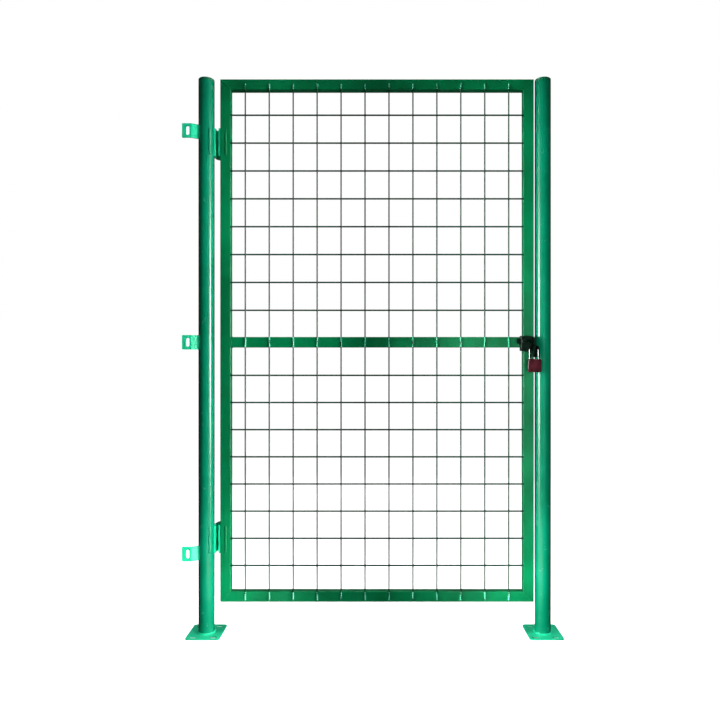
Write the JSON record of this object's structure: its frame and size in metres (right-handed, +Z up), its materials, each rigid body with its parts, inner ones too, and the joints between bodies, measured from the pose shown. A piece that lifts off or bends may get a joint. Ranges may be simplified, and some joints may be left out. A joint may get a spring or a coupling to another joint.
{
  "type": "panel gate",
  "caption": "Hinged single-leaf gate of welded wire mesh in a tube frame, between two round posts on base plates, with a slide bolt and a padlock.",
  "frame": {"origin": "middle of the hinge post's base plate, on the ground", "axes": "+X from the hinge post to the latch post, -Y out of the gate's front, +Z up"},
  "size_m": [1.444, 0.13, 2.128],
  "materials": {
    "powder_coated_steel": "semi-gloss green polyester powder coat over welded steel",
    "black_enamel": "black-green enamel",
    "plastic_cap": "moulded green plastic",
    "bright_steel": "bright zinc-plated steel",
    "brass": "drawn brass",
    "chrome": "chrome-plated hardened steel",
    "lock_enamel": "dark red-brown baked enamel on cast iron"
  },
  "bodies": {
    "posts": {"hinge_post": "powder_coated_steel", "latch_post": "powder_coated_steel", "hinge_post_cap": "plastic_cap", "latch_post_cap": "plastic_cap", "hinge_post_base_plate": "powder_coated_steel", "latch_post_base_plate": "powder_coated_steel", "hinge_post_foot_weld": "powder_coated_steel", "latch_post_foot_weld": "powder_coated_steel", "lower_fence_lug": "powder_coated_steel", "middle_fence_lug": "powder_coated_steel", "upper_fence_lug": "powder_coated_steel", "lock_bracket": "black_enamel", "upper_hinge_post_leaf": "powder_coated_steel", "lower_hinge_post_leaf": "powder_coated_steel", "upper_hinge_pin": "bright_steel", "lower_hinge_pin": "bright_steel", "upper_hinge_washer": "brass", "lower_hinge_washer": "brass"},
    "leaf": {"top_rail": "powder_coated_steel", "bottom_rail": "powder_coated_steel", "mid_rail": "powder_coated_steel", "hinge_stile": "powder_coated_steel", "latch_stile": "powder_coated_steel", "vertical_wires": "powder_coated_steel", "upper_row_wires": "powder_coated_steel", "lower_row_wires": "powder_coated_steel", "upper_hinge_gate_leaf": "powder_coated_steel", "lower_hinge_gate_leaf": "powder_coated_steel", "bolt_housing": "black_enamel"},
    "bolt": {"slide_bolt": "black_enamel", "bolt_handle": "black_enamel"},
    "shackle": {"padlock_shackle": "chrome"},
    "padlock": {"padlock_body": "lock_enamel", "padlock_heel_pin": "bright_steel", "padlock_plug_pin": "bright_steel"},
    "plug": {"padlock_key_plug": "brass"},
    "pawl": {"padlock_pawl": "brass"}
  },
  "joints": [
    {"name": "leaf_swing", "type": "hinge", "parent": "posts", "child": "leaf", "pos_m": [0.043, 0.026, 0.364], "axis": [0, 0, 1], "range_deg": [0, 180]},
    {"name": "bolt_slide", "type": "slide", "parent": "leaf", "child": "bolt", "axis": [1, 0, 0], "range_m": [0, 0.024]},
    {"name": "padlock_swing", "type": "hinge", "parent": "posts", "child": "shackle", "pos_m": [1.2485, -0.05, 1.1035], "axis": [-1, 0, 0], "range_deg": [-6, 75]},
    {"name": "padlock_drop", "type": "slide", "parent": "shackle", "child": "padlock", "axis": [0, 0, -1], "range_m": [0, 0.013]},
    {"name": "plug_turn", "type": "hinge", "parent": "padlock", "child": "plug", "pos_m": [1.2485, -0.05, 1.01], "axis": [0, 0, 1], "range_deg": [0, 90]},
    {"name": "pawl_slide", "type": "slide", "parent": "padlock", "child": "pawl", "axis": [-1, 0, 0], "range_m": [0, 0.0025]}
  ],
  "couplings": [
    {"joint": "plug_turn", "follows": "pawl_slide", "rad_per_m": 628.32}
  ]
}
